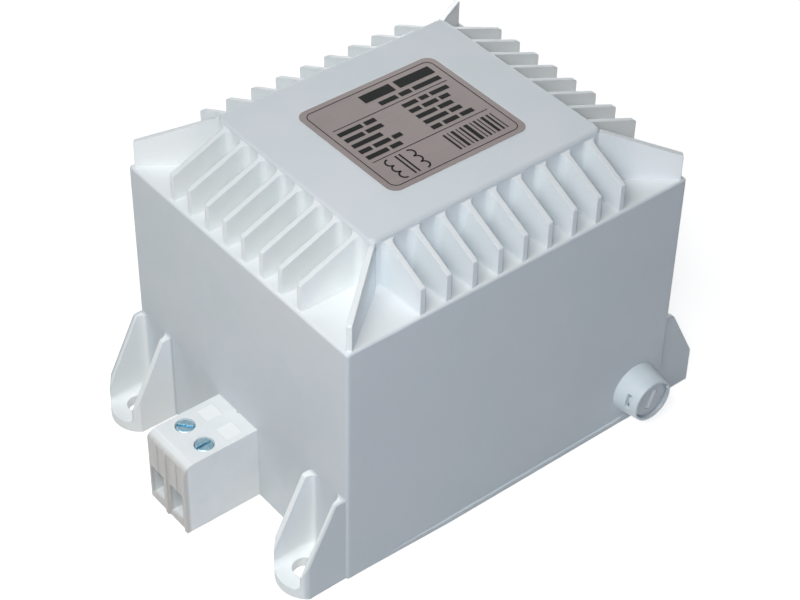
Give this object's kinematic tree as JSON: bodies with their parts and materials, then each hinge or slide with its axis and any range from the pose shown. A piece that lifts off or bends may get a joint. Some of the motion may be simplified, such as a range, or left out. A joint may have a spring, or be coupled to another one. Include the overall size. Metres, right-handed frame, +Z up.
{
  "type": "safety transformer",
  "caption": "Potted safety transformer in a finned plastic housing with fixing ears, screw terminal blocks at both ends and a bayonet fuse holder.",
  "frame": {"origin": "on the base plane, midway between the four fixing holes", "axes": "+X towards the mains terminal block, -Y towards the fuse holder, +Z up"},
  "size_m": [0.1564, 0.0991, 0.093],
  "materials": {
    "housing_plastic": "fine grained moulding, very pale grey",
    "terminal_plastic": "smooth moulding, white",
    "holder_plastic": "smooth moulding, white",
    "potting_resin": "cast, slightly wavy",
    "core_steel": "edges of stacked sheets",
    "bobbin_plastic": "plain moulding",
    "copper": "enamelled wire",
    "coil_tape": "wrapped film",
    "switch_case": "plain",
    "lead_insulation": "plain",
    "brass": "stamped",
    "plated_brass": "tin plated",
    "spring_steel": "drawn wire",
    "zinc_steel": "blue zinc plate",
    "fuse_glass": "clear",
    "label_foil": "satin printed foil"
  },
  "bodies": {
    "base": {"housing": "housing_plastic", "potting_compound": "potting_resin", "e_laminations": "core_steel", "i_laminations": "core_steel", "bobbin": "bobbin_plastic", "primary_winding": "copper", "secondary_winding": "copper", "primary_wrap": "coil_tape", "secondary_wrap": "coil_tape", "thermal_switch": "switch_case", "rating_label": "label_foil", "fuse_holder_body": "holder_plastic", "fuse_holder_nut": "holder_plastic", "fuse_side_contact": "brass", "fuse_rear_contact": "brass", "fuse_spring": "spring_steel", "lead_terminal_to_fuse": "lead_insulation", "lead_fuse_to_switch": "lead_insulation", "lead_switch_to_winding": "lead_insulation", "lead_primary_return": "lead_insulation", "lead_secondary_1": "lead_insulation", "lead_secondary_2": "lead_insulation", "secondary_terminal_block": "terminal_plastic", "secondary_current_bar_1": "plated_brass", "secondary_current_bar_2": "plated_brass", "mains_terminal_block": "terminal_plastic", "mains_current_bar_1": "plated_brass", "mains_current_bar_2": "plated_brass"},
    "fuse_insert": {"fuse_carrier": "holder_plastic", "fuse_carrier_sleeve": "brass", "fuse_front_cap": "plated_brass", "fuse_rear_cap": "plated_brass", "fuse_tube": "fuse_glass", "fuse_element": "copper"},
    "secondary_screw_1": {"secondary_clamp_screw_1": "zinc_steel"},
    "secondary_cage_1": {"secondary_clamp_cage_1": "zinc_steel"},
    "secondary_screw_2": {"secondary_clamp_screw_2": "zinc_steel"},
    "secondary_cage_2": {"secondary_clamp_cage_2": "zinc_steel"},
    "mains_screw_1": {"mains_clamp_screw_1": "zinc_steel"},
    "mains_cage_1": {"mains_clamp_cage_1": "zinc_steel"},
    "mains_screw_2": {"mains_clamp_screw_2": "zinc_steel"},
    "mains_cage_2": {"mains_clamp_cage_2": "zinc_steel"}
  },
  "joints": [
    {"name": "fuse_turn", "type": "hinge", "parent": "base", "child": "fuse_insert", "pos_m": [0.0443, -0.0458, 0.0103], "axis": [0, -1, 0], "range_deg": [0, 40]},
    {"name": "secondary_screw_1_turn", "type": "hinge", "parent": "base", "child": "secondary_screw_1", "pos_m": [-0.0687, 0.0049, 0.023], "axis": [0, 0, -1], "range_deg": [0, 2680]},
    {"name": "secondary_cage_1_lift", "type": "slide", "parent": "base", "child": "secondary_cage_1", "axis": [0, 0, 1], "range_m": [0, 0.0052]},
    {"name": "secondary_screw_2_turn", "type": "hinge", "parent": "base", "child": "secondary_screw_2", "pos_m": [-0.0687, -0.0037, 0.023], "axis": [0, 0, -1], "range_deg": [0, 2680]},
    {"name": "secondary_cage_2_lift", "type": "slide", "parent": "base", "child": "secondary_cage_2", "axis": [0, 0, 1], "range_m": [0, 0.0052]},
    {"name": "mains_screw_1_turn", "type": "hinge", "parent": "base", "child": "mains_screw_1", "pos_m": [0.0687, -0.0049, 0.023], "axis": [0, 0, -1], "range_deg": [0, 2680]},
    {"name": "mains_cage_1_lift", "type": "slide", "parent": "base", "child": "mains_cage_1", "axis": [0, 0, 1], "range_m": [0, 0.0052]},
    {"name": "mains_screw_2_turn", "type": "hinge", "parent": "base", "child": "mains_screw_2", "pos_m": [0.0687, 0.0037, 0.023], "axis": [0, 0, -1], "range_deg": [0, 2680]},
    {"name": "mains_cage_2_lift", "type": "slide", "parent": "base", "child": "mains_cage_2", "axis": [0, 0, 1], "range_m": [0, 0.0052]}
  ],
  "couplings": [
    {"joint": "secondary_screw_1_turn", "follows": "secondary_cage_1_lift", "rad_per_m": 8976},
    {"joint": "secondary_screw_2_turn", "follows": "secondary_cage_2_lift", "rad_per_m": 8976},
    {"joint": "mains_screw_1_turn", "follows": "mains_cage_1_lift", "rad_per_m": 8976},
    {"joint": "mains_screw_2_turn", "follows": "mains_cage_2_lift", "rad_per_m": 8976}
  ]
}
